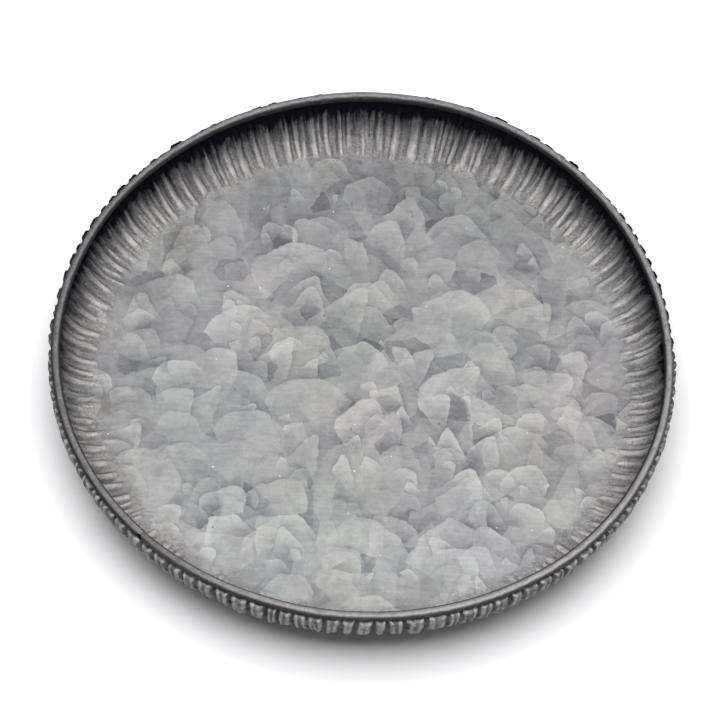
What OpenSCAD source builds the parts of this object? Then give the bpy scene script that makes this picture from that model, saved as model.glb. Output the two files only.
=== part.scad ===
// Round galvanised steel pan: one pressed sheet with a flat floor and a fluted
// wall, a rolled steel hoop closed over the wall's top edge, and a stiffening
// wire inside the hoop. Millimetres, +Z up, origin on the axis at the base.

/* [Pan] */
// Outside diameter over the rim bead
pan_d = 330; // [310:5:360]
// Height from the underside to the top of the rim bead
pan_h = 36; // [32:1:45]
// Diameter of the flat floor, where the flutes begin
floor_d = 284; // [260:2:288]
// Thickness of the sheet
sheet_t = 0.5; // [0.4:0.1:0.7]

/* [Flutes] */
// Number of flutes round the wall
flutes = 120; // [96:2:130]
// Depth of a flute at the top of the wall
flute_depth = 4; // [3:0.25:4.5]
// How far the flutes stand out past the middle of the rim bead
flute_reach = 3.8; // [3:0.1:4.5]

/* [Rim] */
// Diameter of the rim bead
bead_d = 4.8; // [4:0.1:6]
// Thickness of the hoop's strip
hoop_t = 0.45; // [0.3:0.05:0.6]
// Height of the hoop's two legs below the bead
leg_h = 1.5; // [1:0.1:2.5]
// Gap where the hoop's two ends meet
hoop_gap = 0.4; // [0.4:0.1:2]
// Direction of that gap from +X
hoop_gap_at = 229; // [0:1:359]
// Diameter of the round notch left open at that gap
notch_d = 3; // [1:0.1:4]
// Gap between the wire's two ends, at the same place
wire_gap = 5; // [3:0.5:12]

/* [Hidden] */

// Clearance between the hoop and what it is closed over
fit_gap = 0.03;
// How far above level the notch faces, in degrees
notch_tilt = 15;

// Centre circle of the rim bead, and the wire inside it
bead_r = (pan_d - bead_d) / 2;
bead_z = pan_h - bead_d / 2;
wire_r = bead_d / 2 - hoop_t - fit_gap;

// Section of the wall: a quarter ellipse that leaves the floor level and ends
// upright, then closes in to a plain lip that stands in the hoop's slot
floor_r = floor_d / 2;
crest_r = bead_r + flute_reach;
tuck_z = bead_z - bead_d / 2 - leg_h - 0.2;
crest_z = tuck_z - 1.5;
lip_z = bead_z - wire_r - 2 * fit_gap;

// Angles along the quarter ellipse where the sheet's rings lie
ARC = [22, 54, 90];
// Share of its full depth that a flute has already near the floor
depth_at_floor = 0.45;
// A flute's four corners as shares of its pitch, and the share of its depth
// that each is pushed inwards: a narrow ridge, then a wide outer face
CORNER_AT = [0, 0.16, 0.33, 0.83];
CORNER_IN = [1, 1, 0, 0];

columns = len(CORNER_AT) * flutes;
rings = len(ARC) + 3;

function unit(v) = v / norm(v);

// Radius and height of the flutes' outer faces, at an angle of the ellipse
function arc_point(a) = [
    floor_r + (crest_r - floor_r) * sin(a),
    sheet_t / 2 + (crest_z - sheet_t / 2) * (1 - cos(a))
];

// Direction across the sheet there, pointing into the pan
function arc_inward(a) = unit([-crest_z * sin(a), (crest_r - floor_r) * cos(a)]);

function depth_at(a) =
    flute_depth * (depth_at_floor + (1 - depth_at_floor) * a / 90);

// Radius and height of the middle of the sheet on ring i, where s is the share
// of a flute's depth. The ring past the last one only gives the lip's direction
function section(i, s) =
    i == 0 ? [floor_r, sheet_t / 2]
    : i <= len(ARC) ? arc_point(ARC[i - 1])
        + s * depth_at(ARC[i - 1]) * arc_inward(ARC[i - 1])
    : i == rings - 2 ? [bead_r, tuck_z]
    : [bead_r, lip_z + i - rings + 1];

function column_angle(j) =
    (floor(j / len(CORNER_AT)) + CORNER_AT[j % len(CORNER_AT)]) * 360 / flutes;

function middle(i, j) =
    let (
        c = (j + columns) % columns,
        p = section(i, CORNER_IN[c % len(CORNER_AT)]),
        a = column_angle(c)
    ) [p[0] * cos(a), p[0] * sin(a), p[1]];

// Direction halfway round the bend at b on the way from a to c, made longer so
// that the sheet keeps its thickness on both sides of the bend
function bend(a, b, c) =
    let (sum = unit(b - a) + unit(c - b)) unit(sum) * 2 / norm(sum);

// Across the sheet at a grid point, pointing into the pan
function across(i, j) =
    i == 0 ? [0, 0, 1]
    : cross(
        bend(middle(i, j - 1), middle(i, j), middle(i, j + 1)),
        bend(middle(i - 1, j), middle(i, j), middle(i + 1, j))
    ) * -1;

function face_point(i, j, side) = middle(i, j) + side * sheet_t / 2 * across(i, j);

// Number of a grid point in the polyhedron: the inner face comes first
function id(i, j, side) =
    (side > 0 ? 0 : rings * columns) + i * columns + (j % columns);

// Two triangles over four corners
function quad(a, b, c, d) = [[a, b, c], [a, c, d]];

module pan_sheet() {
    grid = [
        for (side = [1, -1], i = [0:rings - 1], j = [0:columns - 1])
            face_point(i, j, side)
    ];
    inner_face = [
        for (i = [0:rings - 2], j = [0:columns - 1])
            each quad(id(i, j, 1), id(i, j + 1, 1), id(i + 1, j + 1, 1), id(i + 1, j, 1))
    ];
    outer_face = [
        for (i = [0:rings - 2], j = [0:columns - 1])
            each quad(id(i, j, -1), id(i + 1, j, -1), id(i + 1, j + 1, -1), id(i, j + 1, -1))
    ];
    top = rings - 1;
    lip_edge = [
        for (j = [0:columns - 1])
            each quad(id(top, j, 1), id(top, j + 1, 1), id(top, j + 1, -1), id(top, j, -1))
    ];
    floor_top = [for (j = [columns - 1:-1:0]) id(0, j, 1)];
    floor_base = [for (j = [0:columns - 1]) id(0, j, -1)];
    color("#a8a9ab")
        polyhedron(
            points = grid,
            faces = concat(inner_face, outer_face, lip_edge, [floor_top, floor_base])
        );
}

// Section of the hoop about the bead's centre: a split tube with two legs that
// hold the lip between them
module hoop_section() {
    slot = sheet_t + 2 * fit_gap;
    leg_base = -bead_d / 2 - leg_h;
    difference() {
        union() {
            circle(d = bead_d, $fn = 48);
            translate([-slot / 2 - hoop_t, leg_base])
                square([slot + 2 * hoop_t, leg_h + hoop_t]);
        }
        circle(d = bead_d - 2 * hoop_t, $fn = 48);
        translate([-slot / 2, leg_base - 1])
            square([slot, 1 - leg_base]);
    }
}

// A section swept round the bead's circle, less a gap where its ends meet
module rim_sweep(gap) {
    gap_angle = gap / bead_r * 180 / PI;
    translate([0, 0, bead_z])
        rotate(hoop_gap_at + gap_angle / 2)
            rotate_extrude(angle = 360 - gap_angle, $fn = 180)
                translate([bead_r, 0])
                    children();
}

module rim_hoop() {
    color("#8d8f92")
        difference() {
            rim_sweep(hoop_gap)
                hoop_section();
            rotate(hoop_gap_at)
                translate([bead_r, 0, bead_z])
                    rotate([0, 90 - notch_tilt, 0])
                        cylinder(d = notch_d, h = bead_d, $fn = 32);
        }
}

module rim_wire() {
    color("#77797c")
        rim_sweep(wire_gap)
            circle(r = wire_r, $fn = 48);
}

pan_sheet();
rim_hoop();
rim_wire();
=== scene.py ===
import math

import bpy
import numpy as np
from mathutils import Matrix, Vector, noise


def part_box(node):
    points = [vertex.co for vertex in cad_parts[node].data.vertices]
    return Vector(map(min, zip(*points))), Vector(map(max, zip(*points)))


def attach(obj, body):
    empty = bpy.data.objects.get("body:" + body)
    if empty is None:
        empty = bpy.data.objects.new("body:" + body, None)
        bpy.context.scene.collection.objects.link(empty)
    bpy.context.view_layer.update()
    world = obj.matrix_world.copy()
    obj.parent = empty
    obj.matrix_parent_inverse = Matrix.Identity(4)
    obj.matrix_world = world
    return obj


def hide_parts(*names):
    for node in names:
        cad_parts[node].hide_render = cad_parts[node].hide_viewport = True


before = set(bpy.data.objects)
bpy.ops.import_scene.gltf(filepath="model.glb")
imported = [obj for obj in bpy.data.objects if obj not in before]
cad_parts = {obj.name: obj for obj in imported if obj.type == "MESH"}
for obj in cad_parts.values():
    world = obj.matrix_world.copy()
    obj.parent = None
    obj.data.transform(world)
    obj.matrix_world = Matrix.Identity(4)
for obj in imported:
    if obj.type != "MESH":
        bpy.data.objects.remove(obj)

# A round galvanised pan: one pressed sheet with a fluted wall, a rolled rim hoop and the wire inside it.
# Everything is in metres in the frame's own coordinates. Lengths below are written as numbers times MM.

MM = 0.001
TAU = 2 * math.pi
SEED = 29

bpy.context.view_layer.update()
rng = np.random.default_rng(SEED)

# ------------------------------------------------------------------ sizes, from the frame

sheet_low, sheet_high = (Vector(corner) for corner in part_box("pan_sheet"))
hoop_low, hoop_high = (Vector(corner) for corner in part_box("rim_hoop"))
wire_low, wire_high = (Vector(corner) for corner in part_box("rim_wire"))

SHEET_T = 0.5 * MM
HOOP_T = 0.45 * MM
SLOT = SHEET_T + 0.06 * MM
WIRE_R = (wire_high.z - wire_low.z) / 2
BEAD_Z = (wire_high.z + wire_low.z) / 2
BEAD_R = wire_high.x - WIRE_R
BEAD = hoop_high.z - BEAD_Z
LEG_BASE = hoop_low.z
LIP_TOP = sheet_high.z
FLOOR_R = 142 * MM
CREST_R = sheet_high.x - SHEET_T / 2
TUCK_Z = LEG_BASE - 0.2 * MM
CREST_Z = TUCK_Z - 1.5 * MM
JOINT_AT = math.radians(229)

# ------------------------------------------------------------------ shape helpers


def smooth_step(low, high, value):
    """0 below low, 1 above high, and a smooth rise between them."""
    share = np.clip((value - low) / (high - low), 0, 1)
    return share * share * (3 - 2 * share)


def unit(vectors):
    return vectors / np.linalg.norm(vectors, axis=-1, keepdims=True)


def lumps(points, size, seed):
    """Smooth noise between about -1 and 1 at each point, with lumps of the given size."""
    shift = Vector((seed * 17.3, seed * 5.1, seed * 9.7))
    flat = points.reshape(-1, 3) / size
    values = [noise.noise(Vector(p) + shift) for p in flat]
    return np.array(values).reshape(points.shape[:-1])


def wobble(angle, harmonics, seed):
    """A smooth random curve round the circle, about -1 to 1, from the given harmonics."""
    draw = np.random.default_rng(seed)
    total = np.zeros_like(angle)
    for harmonic in harmonics:
        total = total + draw.uniform(0.4, 1) * np.cos(harmonic * angle + draw.uniform(0, TAU))
    return total / len(harmonics)


LOBES = ((3, 1.15 * MM, 42), (4, 0.3 * MM, 31))
RIM_WAVE = 0.22 * MM
RIM_LIFT = 0.3 * MM


def hand_bent(points):
    """Moves points as the finished pan is out of true: slight lobes, and a rim that waves a little."""
    x, y, z = points[..., 0], points[..., 1], points[..., 2]
    angle = np.arctan2(y, x)
    radius = np.hypot(x, y)
    out = (radius / BEAD_R) ** 2
    up = np.clip(z / BEAD_Z, 0, None)
    lobes = sum(size * np.cos(count * (angle + math.radians(turn))) for count, size, turn in LOBES)
    waves = up * RIM_WAVE * wobble(angle, (9, 13, 17, 23), 3)
    radius_new = radius + out * lobes + out * waves
    lift = up * RIM_LIFT * wobble(angle, (3, 5, 8, 14), 4)
    scale = radius_new / np.maximum(radius, 1e-9)
    return np.stack([x * scale, y * scale, z + lift], axis=-1)


def make_piece(name, points, faces, material, replaced, sharp=math.radians(50)):
    """A smooth shaded mesh piece that rides on the pan's only body and stands for one CAD node."""
    mesh = bpy.data.meshes.new(name)
    mesh.from_pydata(hand_bent(points).tolist(), [], faces)
    mesh.validate()
    mesh.polygons.foreach_set("use_smooth", [True] * len(mesh.polygons))
    mesh.set_sharp_from_angle(angle=sharp)
    mesh.materials.append(material)
    piece = bpy.data.objects.new(name, mesh)
    bpy.context.scene.collection.objects.link(piece)
    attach(piece, "root")
    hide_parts(replaced)
    return piece


# ------------------------------------------------------------------ the pressed sheet

FLUTES = 120
FLUTE_COLUMNS = 12
COLUMNS = FLUTES * FLUTE_COLUMNS
ARC_RINGS = 22
TUCK_RINGS = 6
LIP_RINGS = 2
SMALL_FOLDS = 480


def ridge_angles(heights):
    """Angle of each inward ridge on each ring: uneven spacing, and each ridge leans a little."""
    widths = np.clip(rng.normal(1, 0.17, FLUTES), 0.6, 1.5)
    foot = np.concatenate([[0], np.cumsum(widths)[:-1]]) / widths.sum() * TAU
    lean = np.radians(rng.normal(0, 0.45, FLUTES))
    bow = np.radians(rng.normal(0, 0.25, FLUTES))
    shares = heights[:, None]
    return foot + lean * (shares - 0.5) + bow * np.sin(math.pi * shares)


def column_angles(ridges):
    """Angle of every mesh column, evenly shared out between neighbouring ridges."""
    following = np.concatenate([ridges[:, 1:], ridges[:, :1] + TAU], axis=1)
    steps = np.arange(FLUTE_COLUMNS) / FLUTE_COLUMNS
    angles = ridges[:, :, None] + (following - ridges)[:, :, None] * steps
    return angles.reshape(len(ridges), COLUMNS)


def between_ridges(values):
    """Carries one value per ridge to every column: the ridge before it and the ridge after it."""
    before = np.repeat(values, FLUTE_COLUMNS, axis=-1)
    after = np.repeat(np.roll(values, -1, axis=-1), FLUTE_COLUMNS, axis=-1)
    return before, after


def main_flutes(path):
    """How far each column of each ring is pushed inwards from the flutes' outer envelope."""
    start = np.clip(rng.normal(1.5, 2.2, FLUTES), -1, 8) * MM
    run = rng.uniform(3, 9, FLUTES) * MM
    full = np.clip(rng.normal(3.6, 0.7, FLUTES), 1.9, 4.8) * MM
    foot_share = np.clip(rng.normal(0.36, 0.12, FLUTES), 0.12, 0.62)
    hollow = rng.uniform(-0.4, 0.5, FLUTES) * MM
    top = rng.uniform(0.01, 0.09, (2, FLUTES))
    base = rng.uniform(0.22, 0.4, (2, FLUTES))
    rise = smooth_step(0, run, path[:, None] - start)
    climb = smooth_step(4 * MM, 34 * MM, path[:, None])
    depth = full * rise * (foot_share + (1 - foot_share) * climb)
    closed = np.random.default_rng(SEED + 1).uniform(0.05, 0.75, FLUTES)
    depth *= 1 - closed * smooth_step(26 * MM, 38 * MM, path[:, None])
    share = np.tile(np.arange(FLUTE_COLUMNS) / FLUTE_COLUMNS, FLUTES)
    depth_before, depth_after = between_ridges(depth)
    top_before, _ = between_ridges(top[0])
    _, top_after = between_ridges(top[1])
    base_before, _ = between_ridges(base[0])
    _, base_after = between_ridges(base[1])
    hump_before = 1 - smooth_step(top_before, base_before, share)
    hump_after = 1 - smooth_step(top_after, base_after, 1 - share)
    dent = np.repeat(hollow, FLUTE_COLUMNS) * np.exp(-((share - 0.5) / 0.1) ** 2)
    dent = dent * smooth_step(8 * MM, 22 * MM, path[:, None])
    return depth_before * hump_before + depth_after * hump_after + dent


def small_folds(angles, path, radius):
    """Random pleats and creases between the flutes, narrow and short, some inwards and some outwards."""
    total = np.zeros_like(angles)
    for _ in range(SMALL_FOLDS):
        middle = rng.uniform(0, TAU)
        width = rng.uniform(0.6, 1.3) * MM
        height = rng.uniform(0.15, 0.7) * MM * rng.choice([-1, 1], p=[0.45, 0.55])
        low = rng.uniform(-4, 20) * MM
        high = low + rng.uniform(9, 28) * MM
        lean = rng.normal(0, 0.09)
        away = (angles - middle + math.pi) % TAU - math.pi
        away = away * radius[:, None] - lean * (path[:, None] - low)
        reach = smooth_step(low, low + 4 * MM, path) * (1 - smooth_step(high - 5 * MM, high, path))
        reach = reach * smooth_step(0.5 * MM, 5 * MM, path)
        total += height * reach[:, None] * np.exp(-(away / width) ** 2)
    return total


def wall_section():
    """The wall's outer envelope, ring by ring: radius, height, inward direction and path length.

    The last two say how much of the flutes, and of the crests' lift, each ring has.
    """
    turn = np.linspace(0, math.pi / 2, ARC_RINGS)
    reach = CREST_R - FLOOR_R
    climb = CREST_Z - SHEET_T / 2
    radius = FLOOR_R + reach * np.sin(turn)
    height = SHEET_T / 2 + climb * (1 - np.cos(turn))
    inward = unit(np.stack([-climb * np.sin(turn), reach * np.cos(turn)], axis=-1))
    tuck = np.arange(1, TUCK_RINGS + 1) / TUCK_RINGS
    tuck_radius = CREST_R + (BEAD_R - CREST_R) * tuck ** 1.6
    tuck_height = CREST_Z + (TUCK_Z - CREST_Z) * tuck
    lip_height = np.linspace(TUCK_Z, LIP_TOP, LIP_RINGS + 1)[1:]
    radius = np.concatenate([radius, tuck_radius, np.full(LIP_RINGS, BEAD_R)])
    height = np.concatenate([height, tuck_height, lip_height])
    level = np.tile([-1.0, 0.0], (TUCK_RINGS + LIP_RINGS, 1))
    inward = np.concatenate([inward, level])
    steps = np.hypot(np.diff(radius), np.diff(height))
    path = np.concatenate([[0], np.cumsum(steps)])
    fade = np.concatenate([np.ones(ARC_RINGS), np.cos(tuck * math.pi / 2), np.zeros(LIP_RINGS)])
    over_tuck = np.sin(math.pi * (0.25 + 0.75 * tuck))
    cap = np.concatenate([np.zeros(ARC_RINGS - 3), [0.06, 0.2, 0.42], over_tuck, np.zeros(LIP_RINGS)])
    return radius, height, inward, path, fade, cap


def crest_lift():
    """How far the top of each outward pleat stands up beside the hoop, carried to every column."""
    runs = wobble(np.arange(FLUTES) * TAU / FLUTES, (5, 8, 13, 21, 34), 31)
    lift = np.clip(rng.normal(2.7, 0.35, FLUTES) + 0.9 * runs, 1.2, 4.0) * MM
    share = np.arange(FLUTE_COLUMNS) / FLUTE_COLUMNS
    dome = smooth_step(0.03, 0.2, share) * smooth_step(0.03, 0.2, 1 - share)
    return (lift[:, None] * dome[None]).reshape(-1)


def wall_middle():
    """The fluted wall's middle surface, as rings by columns of points, with each point's flute depth."""
    radius, height, inward, path, fade, cap = wall_section()
    angles = column_angles(ridge_angles(path / path[-1]))
    lift = crest_lift()[None]
    depth = (main_flutes(path) + small_folds(angles, path, radius)) * fade[:, None]
    depth = np.maximum(depth, -1.0 * MM * smooth_step(6 * MM, 18 * MM, path)[:, None])
    depth *= smooth_step(0, 1.8 * MM, path)[:, None]
    behind = smooth_step(0.0, 0.6, np.sin(angles))
    depth *= 1 - (0.22 + 0.38 * behind) * smooth_step(27 * MM, 38 * MM, path)[:, None]
    spread = 0.1 + 0.38 * behind
    r = radius[:, None] + inward[:, :1] * depth + spread * cap[:, None] * lift
    z = height[:, None] + inward[:, 1:] * depth + cap[:, None] * lift
    points = np.stack([r * np.cos(angles), r * np.sin(angles), z], axis=-1)
    crumple = smooth_step(1 * MM, 20 * MM, path)[:, None] * (0.3 + 0.7 * fade[:, None])
    crumple[-LIP_RINGS:] = 0
    bumps = 0.42 * MM * lumps(points, 6.5 * MM, 1) + 0.4 * MM * lumps(points, 2.8 * MM, 2)
    points = points + (crumple * bumps)[..., None] * grid_normals(points)
    return points, depth + crumple * bumps


def relief(depth):
    """How far each point stands proud of its surroundings, in shares of a flute: ridges 1, grooves -1."""
    blurred = depth.copy()
    for shift in range(1, FLUTE_COLUMNS + 1):
        blurred += np.roll(depth, shift, axis=1) + np.roll(depth, -shift, axis=1)
    blurred /= 2 * FLUTE_COLUMNS + 1
    return np.clip((depth - blurred) / (1.6 * MM), -1.2, 1.2)


def creases(points, normals):
    """How sharply the sheet bends across the flutes: positive on folds towards the pan's inside."""
    before = np.roll(points, 2, axis=1) - points
    after = np.roll(points, -2, axis=1) - points
    bend = ((before + after) * normals).sum(axis=-1)
    return np.clip(-bend / (0.8 * MM), -1.5, 1.5)


def grid_normals(grid):
    """Normals of a grid that closes on itself round the pan, pointing into the pan."""
    round_it = np.roll(grid, -1, axis=1) - np.roll(grid, 1, axis=1)
    along = np.empty_like(grid)
    along[1:-1] = unit(grid[2:] - grid[1:-1]) + unit(grid[1:-1] - grid[:-2])
    along[0] = grid[1] - grid[0]
    along[-1] = grid[-1] - grid[-2]
    normals = unit(np.cross(along, round_it))
    normals[0] = (0, 0, 1)
    return normals


FLOOR_RINGS = (
    (140.4, 2), (137.6, 4), (132.5, 8), (124, 8), (113, 8), (101, 8), (88, 8), (75, 8),
    (62, 16), (49, 16), (36, 16), (23, 16), (11, 16),
)


def floor_middle(edge):
    """Rings of the floor from its edge inwards, each with fewer columns, and the centre point."""
    rings = []
    for radius, skip in FLOOR_RINGS:
        ring = edge[::skip].copy()
        share = radius * MM / FLOOR_R
        ring[:, :2] *= share
        ring[:, 2] += floor_lift(ring, share)
        rings.append(ring)
    centre = np.array([[0, 0, edge[0, 2]]])
    centre[:, 2] += floor_lift(centre, 0)
    return rings, centre


def floor_lift(points, share):
    """The floor isn't quite flat: it lies a fraction of a millimetre high, in broad waves."""
    waves = 0.5 + 0.5 * lumps(points, 70 * MM, 5) + 0.12 * lumps(points, 26 * MM, 6)
    return np.clip(waves, 0, None) * 0.55 * MM * (1 - share ** 6)


def ring_faces(lower, upper, count, flip):
    """Quads between two rings of the same number of points, given the index that each starts at."""
    faces = []
    for j in range(count):
        k = (j + 1) % count
        quad = (lower + j, lower + k, upper + k, upper + j)
        faces.append(quad[::-1] if flip else quad)
    return faces


def halving_faces(wide, narrow, count, flip):
    """Triangles from a ring of count points to a ring with every second one of them."""
    faces = []
    for j in range(count // 2):
        a, b, c = wide + 2 * j, wide + 2 * j + 1, wide + (2 * j + 2) % count
        d, e = narrow + j, narrow + (j + 1) % (count // 2)
        for face in ((a, d, b), (b, d, e), (b, e, c)):
            faces.append(face if flip else face[::-1])
    return faces


def sheet_side(wall, floor_rings, centre, start, flip):
    """Points and faces of one face of the sheet, wall and floor together."""
    rings, columns = wall.shape[:2]
    points = [wall.reshape(-1, 3)]
    faces = []
    for i in range(rings - 1):
        faces += ring_faces(start + i * columns, start + (i + 1) * columns, columns, flip)
    here, count = start, columns
    following = start + rings * columns
    for ring in floor_rings:
        points.append(ring)
        if len(ring) == count:
            faces += ring_faces(here, following, count, not flip)
        else:
            faces += halving_faces(here, following, count, not flip)
        here, count = following, len(ring)
        following += count
    points.append(centre)
    for j in range(count):
        face = (here + j, here + (j + 1) % count, following)
        faces.append(face if not flip else face[::-1])
    return np.concatenate(points), faces


def add_attribute(piece, name, values):
    attribute = piece.data.attributes.new(name, "FLOAT", "POINT")
    attribute.data.foreach_set("value", values.astype(np.float32))


def add_sheet_attributes(piece, middle, normals, depth, floor_count):
    """Marks each point of both faces for the material: how proud, how creased, how tucked in, which side."""
    on_floor = np.zeros(floor_count)
    for name, values in (("relief", relief(depth)), ("crease", creases(middle, normals))):
        one_side = np.concatenate([values.reshape(-1), on_floor])
        add_attribute(piece, name, np.concatenate([one_side, -one_side]))
    below = np.zeros(ARC_RINGS - 3)
    above = np.ones(TUCK_RINGS + LIP_RINGS - 1)
    tucked = np.concatenate([below, np.linspace(0.3, 1, 4), above])
    one_side = np.concatenate([np.repeat(tucked, COLUMNS), on_floor])
    add_attribute(piece, "tucked", np.tile(one_side, 2))
    add_attribute(piece, "outside", np.repeat([0.0, 1.0], len(one_side)))


def pan_sheet(material):
    middle, depth = wall_middle()
    normals = grid_normals(middle)
    half = normals * SHEET_T / 2
    up = np.array([0, 0, SHEET_T / 2])
    floor_rings, centre = floor_middle(middle[0])
    floor_above = [ring + up for ring in floor_rings]
    floor_below = [ring - up for ring in floor_rings]
    inner, inner_faces = sheet_side(middle + half, floor_above, centre + up, 0, False)
    outer, outer_faces = sheet_side(middle - half, floor_below, centre - up, len(inner), True)
    top = (middle.shape[0] - 1) * COLUMNS
    lip_faces = ring_faces(top, top + len(inner), COLUMNS, False)
    points = np.concatenate([inner, outer])
    piece = make_piece("pan_sheet_formed", points, inner_faces + outer_faces + lip_faces, material,
                       "pan_sheet")
    add_sheet_attributes(piece, middle, normals, depth, len(inner) - middle.shape[0] * COLUMNS)
    return piece


# ------------------------------------------------------------------ the rim

RIM_RINGS = 420
ARC_POINTS = 22
JOINT_GAP = 0.16 * MM
NOTCH_R = 1.6 * MM
NOTCH_TILT = math.radians(22)
JOINT_REACH = 4 * MM
LEG_FLARE = 0.28 * MM
SIZE_WAVER = 0.035
JOINT_NARROWING = 0.05
STAINED_LENGTH = 60 * MM
WIRE_GAP = 5 * MM
WIRE_PLAY = 0.08 * MM
WIRE_RINGS = 300
WIRE_SIDES = 16


def hoop_centre_line():
    """Middle line of the strip's section, from the foot of its outer leg over the bead to the inner one."""
    radius = BEAD - HOOP_T / 2
    leg_x = (SLOT + HOOP_T) / 2
    mouth = math.asin(leg_x / radius)
    turn = np.linspace(-math.pi / 2 + mouth, 1.5 * math.pi - mouth, ARC_POINTS)
    arc = np.stack([radius * np.cos(turn), radius * np.sin(turn)], axis=-1)
    foot = LEG_BASE - BEAD_Z
    leg_z = np.array([foot, foot + 0.5 * MM, foot + 1.0 * MM, foot + 1.4 * MM])
    outer_leg = np.stack([np.full(4, leg_x), leg_z], axis=-1)
    inner_leg = np.stack([np.full(4, -leg_x), leg_z[::-1]], axis=-1)
    return np.concatenate([outer_leg, arc, inner_leg])


def section_normals(line):
    along = np.gradient(line, axis=0)
    return unit(np.stack([along[:, 1], -along[:, 0]], axis=-1))


def ring_positions(length, gap):
    """Distances along the rim's circle from the joint, closer together near the two ends."""
    near = np.array([0, 0.25, 0.6, 1.0, 1.6, 2.4, 3.4]) * MM + gap / 2
    even = np.linspace(5 * MM, length - 5 * MM, RIM_RINGS)
    return np.concatenate([near, even, length - near[::-1]])


def hoop_loop():
    """The strip's closed outline, from its middle line and its thickness."""
    line = hoop_centre_line()
    normals = section_normals(line)
    return np.concatenate([line + normals * HOOP_T / 2, (line - normals * HOOP_T / 2)[::-1]])


def hoop_sections(loop, angle, stations):
    """The outline at each station: the tube wavers, narrows at the joint, and its outer leg flares."""
    size = 1 + SIZE_WAVER * wobble(angle, (7, 11, 19, 31), 11)
    size -= JOINT_NARROWING * smooth_step(22 * MM, 2 * MM, stations)
    in_tube = loop[:, 1] > -BEAD
    section = loop[None] * np.where(in_tube[None], size[:, None], 1)[..., None]
    flare = np.clip((-loop[:, 1] - BEAD * 0.8) / (1.5 * MM), 0, 1) * (loop[:, 0] > 0)
    spread = LEG_FLARE * np.clip(wobble(angle, (4, 6, 10, 15, 27), 12) + 0.25, 0, 1)
    section[..., 0] += flare[None] * spread[:, None]
    return section


def joint_shift(loop, stations, length):
    """How far points move along the rim, so that its two ends leave a small round notch between them."""
    turn = np.arctan2(loop[:, 1], loop[:, 0]) - NOTCH_TILT
    turn = (turn + math.pi) % TAU - math.pi
    cut = NOTCH_R * np.sqrt(np.clip(1 - (turn * BEAD / NOTCH_R) ** 2, 0, 1))
    from_start = np.clip(1 - (stations - JOINT_GAP / 2) / JOINT_REACH, 0, 1)
    from_end = np.clip(1 - (length - stations - JOINT_GAP / 2) / JOINT_REACH, 0, 1)
    return cut[None] * (from_start - from_end)[:, None]


def hoop_faces(rings, count):
    """Quads round the strip at every station, and over its thickness at the two ends."""
    faces = []
    for i in range(rings - 1):
        faces += ring_faces(i * count, (i + 1) * count, count, False)
    for ring, flip in ((0, False), (rings - 1, True)):
        for j in range(count // 2 - 1):
            a, b = ring * count + j, ring * count + j + 1
            c, d = ring * count + count - 2 - j, ring * count + count - 1 - j
            faces.append((a, b, c, d) if flip else (d, c, b, a))
    return faces


def rim_hoop(material):
    loop = hoop_loop()
    length = TAU * BEAD_R
    stations = ring_positions(length, JOINT_GAP)
    angle = JOINT_AT + stations / BEAD_R
    section = hoop_sections(loop, angle, stations)
    around = angle[:, None] + joint_shift(loop, stations, length) / BEAD_R
    r = BEAD_R + section[..., 0]
    points = np.stack([r * np.cos(around), r * np.sin(around), BEAD_Z + section[..., 1]], axis=-1)
    rings, count = points.shape[:2]
    piece = make_piece("rim_hoop_rolled", points.reshape(-1, 3), hoop_faces(rings, count), material,
                       "rim_hoop", sharp=math.radians(60))
    add_attribute(piece, "roll", np.tile(np.arctan2(loop[:, 0], loop[:, 1]), rings))
    past_joint = np.clip(1 - stations / STAINED_LENGTH, 0, 1)
    add_attribute(piece, "past_joint", np.repeat(past_joint, count))
    return piece


def rim_wire(material):
    radius = WIRE_R - WIRE_PLAY
    length = TAU * BEAD_R
    angle = JOINT_AT + np.linspace(WIRE_GAP / 2, length - WIRE_GAP / 2, WIRE_RINGS) / BEAD_R
    turn = np.linspace(0, TAU, WIRE_SIDES, endpoint=False)
    r = BEAD_R + radius * np.cos(turn)[None]
    x = r * np.cos(angle)[:, None]
    y = r * np.sin(angle)[:, None]
    z = BEAD_Z + radius * np.sin(turn)[None] + 0 * x
    points = np.stack([x, y, z], axis=-1)
    faces = []
    for i in range(WIRE_RINGS - 1):
        faces += ring_faces(i * WIRE_SIDES, (i + 1) * WIRE_SIDES, WIRE_SIDES, False)
    last = (WIRE_RINGS - 1) * WIRE_SIDES
    faces.append(tuple(range(WIRE_SIDES)))
    faces.append(tuple(last + j for j in reversed(range(WIRE_SIDES))))
    return make_piece("rim_wire_drawn", points.reshape(-1, 3), faces, material, "rim_wire")


# ------------------------------------------------------------------ shader helpers


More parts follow.
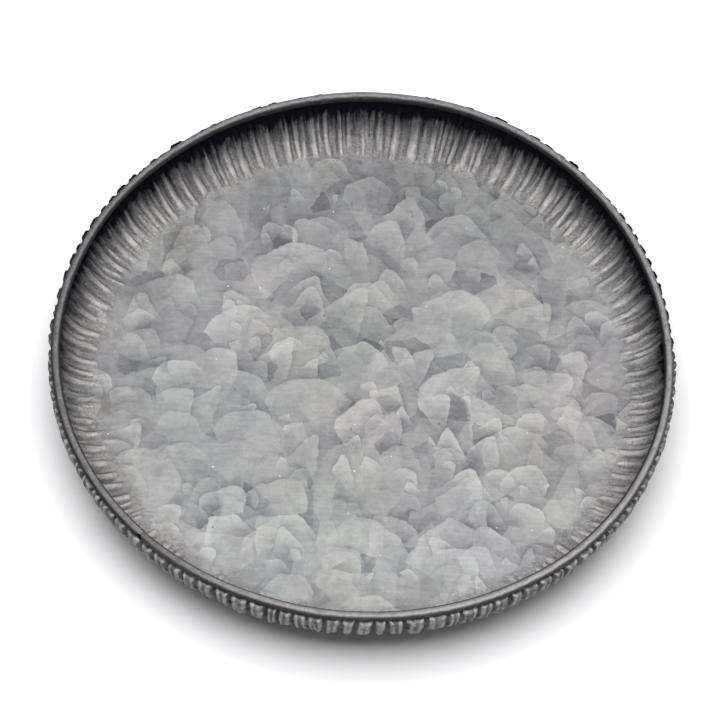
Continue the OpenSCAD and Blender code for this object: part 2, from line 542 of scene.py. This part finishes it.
class Shader:
    """A material whose nodes are made and joined by short calls. Inputs are sockets or plain values."""

    def __init__(self, name):
        self.material = bpy.data.materials.new(name)
        self.material.use_nodes = True
        self.tree = self.material.node_tree
        self.tree.nodes.clear()

    def node(self, kind, inputs=None, **settings):
        node = self.tree.nodes.new(kind)
        for key, value in settings.items():
            setattr(node, key, value)
        for key, value in (inputs or {}).items():
            self.join(node.inputs[key], value)
        return node

    def join(self, socket, value):
        if isinstance(value, bpy.types.NodeSocket):
            self.tree.links.new(value, socket)
        else:
            socket.default_value = value

    def math(self, operation, first, second=0.0, third=0.0, clamp=False):
        values = {0: first, 1: second, 2: third}
        return self.node("ShaderNodeMath", values, operation=operation, use_clamp=clamp).outputs[0]

    def vector(self, operation, first, second=(0, 0, 0)):
        node = self.node("ShaderNodeVectorMath", {0: first, 1: second}, operation=operation)
        return node.outputs["Value" if operation in ("DOT_PRODUCT", "LENGTH") else "Vector"]

    def attribute(self, name):
        return self.node("ShaderNodeAttribute", attribute_name=name).outputs["Fac"]

    def millimetres(self):
        """The shaded point in millimetres, in the piece's own coordinates."""
        return self.scaled(self.node("ShaderNodeTexCoord").outputs["Object"], 1000.0)

    def parts(self, vector):
        node = self.node("ShaderNodeSeparateXYZ", {0: vector})
        return node.outputs[0], node.outputs[1], node.outputs[2]

    def scaled(self, vector, amount):
        node = self.node("ShaderNodeVectorMath", {0: vector, "Scale": amount}, operation="SCALE")
        return node.outputs["Vector"]

    def span(self, value, low, high, to_low=0.0, to_high=1.0, smooth=False):
        inputs = {"Value": value, "From Min": low, "From Max": high, "To Min": to_low, "To Max": to_high}
        style = "SMOOTHSTEP" if smooth else "LINEAR"
        return self.node("ShaderNodeMapRange", inputs, interpolation_type=style).outputs["Result"]

    def noise(self, point, size, detail=2.0, roughness=0.5, colour=False):
        inputs = {"Vector": point, "Scale": 1 / size, "Detail": detail, "Roughness": roughness}
        return self.node("ShaderNodeTexNoise", inputs).outputs["Color" if colour else "Fac"]

    def cells(self, point, size):
        """Outputs of a flat cell pattern: each cell's random colour, its position and the distance to it."""
        inputs = {"Vector": point, "Scale": 1 / size}
        return self.node("ShaderNodeTexVoronoi", inputs, voronoi_dimensions="2D").outputs

    def mix(self, share, first, second):
        node = self.node("ShaderNodeMix", data_type="RGBA")
        self.join(node.inputs[0], share)
        self.join(node.inputs[6], first)
        self.join(node.inputs[7], second)
        return node.outputs[2]

    def mix_value(self, share, first, second):
        node = self.node("ShaderNodeMix", data_type="FLOAT")
        self.join(node.inputs[0], share)
        self.join(node.inputs[2], first)
        self.join(node.inputs[3], second)
        return node.outputs[0]

    def ramp(self, value, stops):
        node = self.node("ShaderNodeValToRGB", {"Fac": value})
        elements = node.color_ramp.elements
        while len(elements) < len(stops):
            elements.new(0.5)
        for element, (place, colour) in zip(elements, stops):
            element.position = place
            element.color = (*colour, 1)
        return node.outputs["Color"]

    def finish(self, colour, roughness, normal, metallic, specular=0.5):
        inputs = {"Base Color": colour, "Roughness": roughness, "Metallic": metallic, "Normal": normal,
                  "Specular IOR Level": specular}
        surface = self.node("ShaderNodeBsdfPrincipled", inputs)
        output = self.node("ShaderNodeOutputMaterial")
        self.tree.links.new(surface.outputs[0], output.inputs["Surface"])
        return self.material


# ------------------------------------------------------------------ materials


def scale_layer(sh, point, size, shift, density):
    """One layer of zinc crystals lying like scales: how far each covers those behind, with a painted sheen
    brightest at its +Y edge and fading away from it, a painted shadow just beyond that edge, and its tone.
    """
    place = sh.vector("ADD", point, (shift, 0.6 * shift, 0))
    cells = sh.cells(place, size)
    pick, bend, tint = sh.parts(cells["Color"])
    across, along, _ = sh.parts(sh.scaled(sh.vector("SUBTRACT", place, cells["Position"]), 1 / size))
    turn = sh.span(bend, 0, 1, -0.8, 0.8)
    leaning = sh.math("SUBTRACT", sh.math("MULTIPLY", along, sh.math("COSINE", turn)),
                      sh.math("MULTIPLY", across, sh.math("SINE", turn)))
    sideways = sh.math("ADD", sh.math("MULTIPLY", across, sh.math("COSINE", turn)),
                       sh.math("MULTIPLY", along, sh.math("SINE", turn)))
    width = sh.math("ABSOLUTE", sh.math("ADD", sideways, sh.span(tint, 0, 1, -0.15, 0.15)))
    steep = sh.span(sh.math("FRACT", sh.math("MULTIPLY", pick, 37.0)), 0, 1, -5.5, -1.6)
    power = sh.span(sh.math("FRACT", sh.math("MULTIPLY", bend, 53.0)), 0, 1, 1.3, 3.6)
    arch = sh.math("MULTIPLY_ADD", sh.math("POWER", width, power), steep, 0.36)
    below = sh.math("SUBTRACT", arch, leaning)
    present = sh.math("LESS_THAN", pick, density)
    inside = sh.span(below, 0, 0.03, smooth=True)
    # Painted sheen: the crystal is lightest at its +Y edge and fades away from it, as if lit from behind.
    cover_and_sheen = sh.math("MULTIPLY", sh.math("MULTIPLY", inside, sh.span(below, 0.05, 0.75, 1, 0)), present)
    cover_and_sheen = sh.math("MULTIPLY", cover_and_sheen, sh.span(leaning, -0.45, 0.05))
    # Painted shadow: a dark band just beyond the crystal's +Y edge, as if it shaded the crystal behind it.
    painted_shadow = sh.math("MULTIPLY", sh.span(below, -0.32, 0), sh.math("SUBTRACT", 1, inside))
    painted_shadow = sh.math("MULTIPLY", sh.math("MULTIPLY", painted_shadow, sh.span(width, 0.15, 0.5, 1, 0)), present)
    return cover_and_sheen, painted_shadow, tint


# Size, shift and share of cells for each layer of crystals, each layer with its painted sheen and painted
# shadow.
SCALE_LAYERS = ((41, 11, 0.65), (31, 47, 0.65), (24, 83, 0.5), (17, 29, 0.35), (10, 61, 0.16))


def spangles_and_sheen(sh, point):
    """Tone of the zinc, about 0 to 1: plain patches, a few dark ones, and a layer of scales per size, each
    scale with a painted sheen and a painted shadow at its +Y edge.
    """
    sway = sh.vector("SUBTRACT", sh.noise(point, 22, 1, colour=True), (0.5, 0.5, 0.5))
    frill = sh.vector("SUBTRACT", sh.noise(point, 4.5, 3, 0.6, colour=True), (0.5, 0.5, 0.5))
    warped = sh.vector("ADD", point, sh.scaled(sway, 8.0))
    warped = sh.vector("ADD", warped, sh.scaled(frill, 2.7))
    wide, _, _ = sh.parts(sh.cells(warped, 23)["Color"])
    narrow, other, _ = sh.parts(sh.cells(warped, 12)["Color"])
    tone = sh.math("ADD", sh.span(wide, 0, 1, 0.35, 0.59), sh.span(narrow, 0, 1, -0.09, 0.09))
    tone = sh.math("MULTIPLY_ADD", sh.math("LESS_THAN", other, 0.16), -0.16, tone)
    for size, shift, density in SCALE_LAYERS:
        cover_and_sheen, painted_shadow, tint = scale_layer(sh, warped, size, shift, density)
        # Each layer darkens its painted shadow, then lays its crystals over the tone with their painted
        # sheen.
        tone = sh.math("MULTIPLY_ADD", painted_shadow, -0.12, tone)
        share = sh.math("MULTIPLY", cover_and_sheen, 0.75)
        tone = sh.mix_value(share, tone, sh.span(tint, 0, 1, 0.46, 0.84))
    return tone


def flecks(sh, point, size, shift, amount, radius):
    """Small round spots: 1 inside a spot and 0 outside, with the given share of cells holding one."""
    place = sh.vector("ADD", point, (shift, shift, 0))
    cells = sh.cells(place, size)
    pick, width, _ = sh.parts(cells["Color"])
    limit = sh.span(width, 0, 1, 0.4 * radius, radius)
    limit = sh.math("MULTIPLY", sh.math("LESS_THAN", pick, amount), limit)
    away = sh.math("MULTIPLY", cells["Distance"], size)
    return sh.math("SUBTRACT", 1, sh.span(sh.math("SUBTRACT", away, limit), -0.25, 0.05, smooth=True))


ZINC_STOPS = (
    (0.12, (0.084, 0.084, 0.092)), (0.4, (0.163, 0.163, 0.167)),
    (0.6, (0.222, 0.222, 0.22)), (0.9, (0.325, 0.324, 0.318)),
)
EDGE_DIRT = (0.115, 0.109, 0.104, 1)
DARK_SPOT = (0.06, 0.06, 0.065, 1)
LIGHT_SPOT = (0.6, 0.6, 0.6, 1)
BROWN_STAIN = (0.24, 0.227, 0.22, 1)
DARK_STREAK = (0.05, 0.048, 0.05, 1)
OUTSIDE_GREY = (0.15, 0.147, 0.151, 1)
GRIME = (0.045, 0.043, 0.046, 1)
RUBBED_BARE = (0.42, 0.408, 0.405, 1)
# Colour of the painted shade at the top of the wall and under the hoop.
PAINTED_SHADE_BLACK = (0.0025, 0.0025, 0.005, 1)


def unrolled(sh, point):
    """Distance from the pan's axis, and the point laid flat as if the wall were folded down outwards."""
    x, y, z = sh.parts(point)
    radius = sh.math("SQRT", sh.math("ADD", sh.math("MULTIPLY", x, x), sh.math("MULTIPLY", y, y)))
    reach = sh.math("ADD", radius, sh.math("MAXIMUM", z, 0))
    flat = sh.scaled(point, sh.math("DIVIDE", reach, sh.math("MAXIMUM", radius, 1)))
    return radius, sh.vector("MULTIPLY", flat, (1, 1, 0))


def zinc_tone(sh, flat, grain):
    """The spangles' tone with their painted sheen and painted shadows, and grain, mottling, faint streaks
    and broad clouds laid over it.
    """
    tone = spangles_and_sheen(sh, flat)
    mottle = sh.noise(flat, 5, 3, 0.55)
    streak = sh.noise(sh.vector("MULTIPLY", flat, (0.14, 1, 1)), 2.2, 2, 0.6)
    cloud = sh.noise(flat, 60, 2)
    for source, spread in ((grain, 0.05), (mottle, 0.055), (streak, 0.045), (cloud, 0.06)):
        tone = sh.math("ADD", tone, sh.span(source, 0.3, 0.7, -spread, spread))
    return tone


def zinc_colour(sh, tone, flat, x, radius, soil):
    """The zinc's colour from its tone, with dirt towards the floor's edge and a few spots."""
    zinc = sh.ramp(tone, ZINC_STOPS)
    hue = sh.vector("SUBTRACT", sh.noise(flat, 75, 2, colour=True), (0.5, 0.5, 0.5))
    zinc = sh.vector("MULTIPLY", zinc, sh.vector("ADD", sh.scaled(hue, 0.11), (1, 1, 1)))
    edge = sh.math("MULTIPLY", sh.span(radius, 108, 138, smooth=True), sh.span(x, 90, -110, 0.15, 1))
    patch = sh.math("MULTIPLY", edge, sh.span(sh.noise(flat, 24, 2), 0.42, 0.6))
    zinc = sh.mix(sh.math("MULTIPLY", patch, sh.span(soil, 0.35, 0.62, 0.1, 0.75)), zinc, EDGE_DIRT)
    zinc = sh.mix(sh.math("MULTIPLY", flecks(sh, flat, 23, 7, 0.35, 0.75), 0.6), zinc, DARK_SPOT)
    return sh.mix(sh.math("MULTIPLY", flecks(sh, flat, 19, 43, 0.22, 0.6), 0.6), zinc, LIGHT_SPOT)


def wall_streaks(sh, point, radius):
    """Noise drawn out up the wall, from 0 to 1."""
    around = sh.scaled(point, sh.math("DIVIDE", 165, sh.math("MAXIMUM", radius, 1)))
    return sh.noise(sh.vector("MULTIPLY", around, (1, 1, 0.12)), 2.3, 4, 0.6)


def stained(sh, zinc, point, wall, outside, soil, streaks):
    """The zinc as the wall has it: brown stains and dark streaks, and a duller grey outside."""
    brown = sh.mix(sh.math("MULTIPLY", wall, sh.span(soil, 0.35, 0.65, 0.15, 0.6)), zinc, BROWN_STAIN)
    brown = sh.mix(sh.math("MULTIPLY", wall, sh.span(streaks, 0.44, 0.7, 0, 0.4)), brown, DARK_STREAK)
    dull = sh.math("MULTIPLY", outside, sh.span(soil, 0.35, 0.6, 0.5, 0.9))
    brown = sh.mix(dull, brown, OUTSIDE_GREY)
    tarnish = sh.span(sh.noise(point, 13, 3, 0.6), 0.46, 0.6, 0, sh.math("MULTIPLY", outside, 0.7))
    brown = sh.mix(tarnish, brown, GRIME)
    dusty = sh.span(sh.noise(point, 1.1, 3, 0.7), 0.35, 0.65, -0.32, 0.32)
    return sh.scaled(brown, sh.math("ADD", sh.math("MULTIPLY", wall, dusty), 1))


def worn(sh, colour, relief, wall, outside, soil):
    """Grime in the grooves and folds of the wall, and bare metal where its ridges are rubbed."""
    crease = sh.attribute("crease")
    groove = sh.span(relief, 0.2, -0.9, 0, sh.math("MULTIPLY_ADD", outside, -0.33, 0.45))
    groove = sh.math("MULTIPLY", wall, groove)
    fold = sh.math("MULTIPLY", wall, sh.span(crease, -0.15, -0.8, 0, 0.5))
    dirty = sh.mix(sh.math("MAXIMUM", groove, fold), colour, GRIME)
    rubbed = sh.span(crease, 0.15, 0.8, 0, sh.math("MULTIPLY_ADD", outside, 0.35, 0.6))
    proud = sh.math("MAXIMUM", sh.span(relief, 0.3, 1.0, 0, 0.35), rubbed)
    proud = sh.math("MULTIPLY", sh.math("MULTIPLY", proud, wall), sh.span(soil, 0.35, 0.6, 0.2, 0.9))
    return sh.mix(proud, dirty, RUBBED_BARE)


def painted_top_shade(sh, colour, y, z, relief, outside, soil, streaks):
    """Painted shade: near black towards the top of the wall and on the rings tucked under the hoop, with a
    ragged edge, and less of it outside and in front, where the light falls.
    """
    front = sh.span(y, 50, -60, smooth=True)
    ragged = sh.math("ADD", z, sh.span(soil, 0.3, 0.7, -2.5, 2.5))
    ragged = sh.math("SUBTRACT", ragged, sh.math("MULTIPLY", relief, 1.5))
    ragged = sh.math("ADD", ragged, sh.span(streaks, 0.3, 0.7, -3.5, 3.5))
    ragged = sh.math("SUBTRACT", ragged, sh.span(y, -60, -165, 0, 6, smooth=True))
    spared = sh.math("MULTIPLY", outside, sh.math("MULTIPLY_ADD", front, -0.4, -0.45))
    # Painted shade above a ragged height, lighter outside and in front, where the light falls.
    high = sh.math("MULTIPLY", sh.span(ragged, 3, 18, 0, 1), sh.math("ADD", spared, 1))
    # Painted shade on the rings tucked under the hoop, lighter in front.
    shade_under_hoop = sh.math("MULTIPLY", sh.attribute("tucked"), sh.math("MULTIPLY_ADD", front, -0.65, 1))
    return sh.mix(sh.math("MAXIMUM", high, shade_under_hoop), colour, PAINTED_SHADE_BLACK)


def galvanised_sheet():
    sh = Shader("galvanised_sheet")
    point = sh.millimetres()
    x, y, z = sh.parts(point)
    radius, flat = unrolled(sh, point)
    grain = sh.noise(point, 1.5, 4, 0.62)
    soil = sh.noise(point, 4.5, 4, 0.62)
    relief = sh.attribute("relief")
    outside = sh.attribute("outside")
    soiled = sh.math("ADD", radius, sh.span(soil, 0.3, 0.7, -3.5, 3.5))
    wall = sh.span(soiled, 140, 149, smooth=True)
    streaks = wall_streaks(sh, point, radius)

    tone = zinc_tone(sh, flat, grain)
    colour = zinc_colour(sh, tone, flat, x, radius, soil)
    colour = stained(sh, colour, point, wall, outside, soil, streaks)
    colour = worn(sh, colour, relief, wall, outside, soil)
    # Painted shade near the top of the wall and under the hoop.
    colour = painted_top_shade(sh, colour, y, z, relief, outside, soil, streaks)

    roughness = sh.math("ADD", sh.span(tone, 0.2, 0.9, 0.68, 0.56), sh.span(grain, 0.3, 0.7, -0.05, 0.05))
    fine = sh.node("ShaderNodeBump", {"Strength": 0.3, "Distance": 0.0002, "Height": grain})
    height = sh.math("MULTIPLY", sh.math("MULTIPLY_ADD", soil, 2.0, grain), wall)
    coarse = {"Strength": 0.7, "Distance": 0.0005, "Height": height, "Normal": fine.outputs["Normal"]}
    bump = sh.node("ShaderNodeBump", coarse)
    return sh.finish(colour, roughness, bump.outputs["Normal"], 0.2, 0.06)


def rim_strip():
    sh = Shader("rim_strip")
    point = sh.millimetres()
    blotch = sh.noise(point, 6, 4, 0.6)
    grain = sh.noise(point, 1.3, 4, 0.6)
    past = sh.attribute("past_joint")
    side = sh.math("ABSOLUTE", sh.attribute("roll"))
    # The bead's top is lighter, as rubbed metal and painted highlight, and its flanks are darker, as painted
    # shade.
    rubbed = sh.span(sh.math("ADD", side, sh.span(blotch, 0.3, 0.7, -0.22, 0.22)), 1.2, 0.3, smooth=True)
    tone = sh.math("ADD", sh.span(blotch, 0.3, 0.7, -0.13, 0.13), sh.span(rubbed, 0, 1, 0.05, 0.76))
    tone = sh.math("ADD", tone, sh.span(grain, 0.3, 0.7, -0.09, 0.09))
    x, _, _ = sh.parts(point)
    # Painted shade: the hoop is darker on its left side.
    tone = sh.math("ADD", tone, sh.span(x, -60, -160, 0, -0.12))
    colour = sh.ramp(tone, ((0.05, (0.012, 0.012, 0.014)), (0.35, (0.045, 0.045, 0.047)),
                            (0.65, (0.13, 0.126, 0.129)), (0.95, (0.25, 0.241, 0.245))))
    colour = sh.mix(sh.math("MULTIPLY", past, 0.55), colour, (0.05, 0.043, 0.04, 1))
    roughness = sh.span(blotch, 0.3, 0.7, 0.6, 0.72)
    height = sh.math("MULTIPLY_ADD", grain, 0.4, blotch)
    bump = sh.node("ShaderNodeBump", {"Strength": 0.4, "Distance": 0.0004, "Height": height})
    return sh.finish(colour, roughness, bump.outputs["Normal"], 0.3, 0.3)


def drawn_wire():
    sh = Shader("drawn_wire")
    point = sh.millimetres()
    blotch = sh.noise(point, 3, 3, 0.6)
    colour = sh.ramp(blotch, ((0.3, (0.08, 0.075, 0.07)), (0.7, (0.2, 0.19, 0.18))))
    bump = sh.node("ShaderNodeBump", {"Strength": 0.3, "Distance": 0.0002, "Height": blotch})
    return sh.finish(colour, sh.span(blotch, 0.3, 0.7, 0.4, 0.6), bump.outputs["Normal"], 0.9)


def paper():
    sh = Shader("paper_ground")
    inputs = {"Base Color": (0.93, 0.93, 0.94, 1), "Roughness": 1.0, "Specular IOR Level": 0.0,
              "Emission Color": (1, 1, 1, 1), "Emission Strength": 0.03}
    surface = sh.node("ShaderNodeBsdfPrincipled", inputs)
    output = sh.node("ShaderNodeOutputMaterial")
    sh.tree.links.new(surface.outputs[0], output.inputs["Surface"])
    return sh.material


# ------------------------------------------------------------------ stage, lights and camera


def ground(material):
    mesh = bpy.data.meshes.new("ground")
    side = 4.0
    below = -0.1 * MM
    corners = [(-side, -side, below), (side, -side, below), (side, side, below), (-side, side, below)]
    mesh.from_pydata(corners, [], [(0, 1, 2, 3)])
    mesh.materials.append(material)
    plane = bpy.data.objects.new("ground", mesh)
    bpy.context.scene.collection.objects.link(plane)
    return plane


def soft_box(name, azimuth, elevation, distance, width, height, power, lit=()):
    """A rectangular light facing the pan from a direction in degrees, for all or only some things."""
    data = bpy.data.lights.new(name, "AREA")
    data.shape = "RECTANGLE"
    data.size = width
    data.size_y = height
    data.energy = power
    lamp = bpy.data.objects.new(name, data)
    a, e = math.radians(azimuth), math.radians(elevation)
    away = Vector((math.cos(e) * math.cos(a), math.cos(e) * math.sin(a), math.sin(e)))
    lamp.location = away * distance
    lamp.rotation_euler = away.to_track_quat("Z", "Y").to_euler()
    bpy.context.scene.collection.objects.link(lamp)
    if lit:
        receivers = bpy.data.collections.new(name + "_lit")
        for thing in lit:
            receivers.objects.link(thing)
        lamp.light_linking.receiver_collection = receivers


def lights(sheet, hoop, wire, paper_ground):
    """One large light for the paper, one behind and one in front for the sheet, one for the hoop."""
    soft_box("ground_key", 90, 80, 1.5, 2.2, 1.6, 44, [paper_ground])
    soft_box("back", 90, 75, 1.5, 2.2, 1.6, 16, [sheet, wire])
    soft_box("front", 272, 68, 0.7, 0.9, 0.5, 11.6, [sheet, wire])
    soft_box("rim", 312, 58, 1.5, 1.2, 1.0, 60, [hoop])
    world = bpy.data.worlds.new("studio")
    world.use_nodes = True
    world.node_tree.nodes["Background"].inputs["Color"].default_value = (0.9, 0.93, 1, 1)
    world.node_tree.nodes["Background"].inputs["Strength"].default_value = 0.05
    bpy.context.scene.world = world


CAMERA_ELEVATION = math.radians(58.35)
CAMERA_ROLL = math.radians(3.1)
CAMERA_DISTANCE = 1303.2 * MM
CAMERA_AIM = (-1.785 * MM, 7.03 * MM)


def camera():
    """A long lens from 58 degrees above, turned a few degrees about its axis."""
    data = bpy.data.cameras.new("camera")
    data.lens = 120
    data.sensor_width = 36
    data.clip_end = 20
    view = bpy.data.objects.new("camera", data)
    back = Vector((0, -math.cos(CAMERA_ELEVATION), math.sin(CAMERA_ELEVATION)))
    right = Vector((1, 0, 0))
    up = back.cross(right)
    aim = right * CAMERA_AIM[0] + up * CAMERA_AIM[1]
    across = math.cos(CAMERA_ROLL) * right + math.sin(CAMERA_ROLL) * up
    upright = -math.sin(CAMERA_ROLL) * right + math.cos(CAMERA_ROLL) * up
    turn = Matrix((across, upright, back)).transposed().to_4x4()
    view.matrix_world = Matrix.Translation(aim + back * CAMERA_DISTANCE) @ turn
    bpy.context.scene.collection.objects.link(view)
    bpy.context.scene.camera = view


# ------------------------------------------------------------------ the scene

lights(pan_sheet(galvanised_sheet()), rim_hoop(rim_strip()), rim_wire(drawn_wire()), ground(paper()))
camera()
bpy.context.scene.view_settings.view_transform = "Standard"
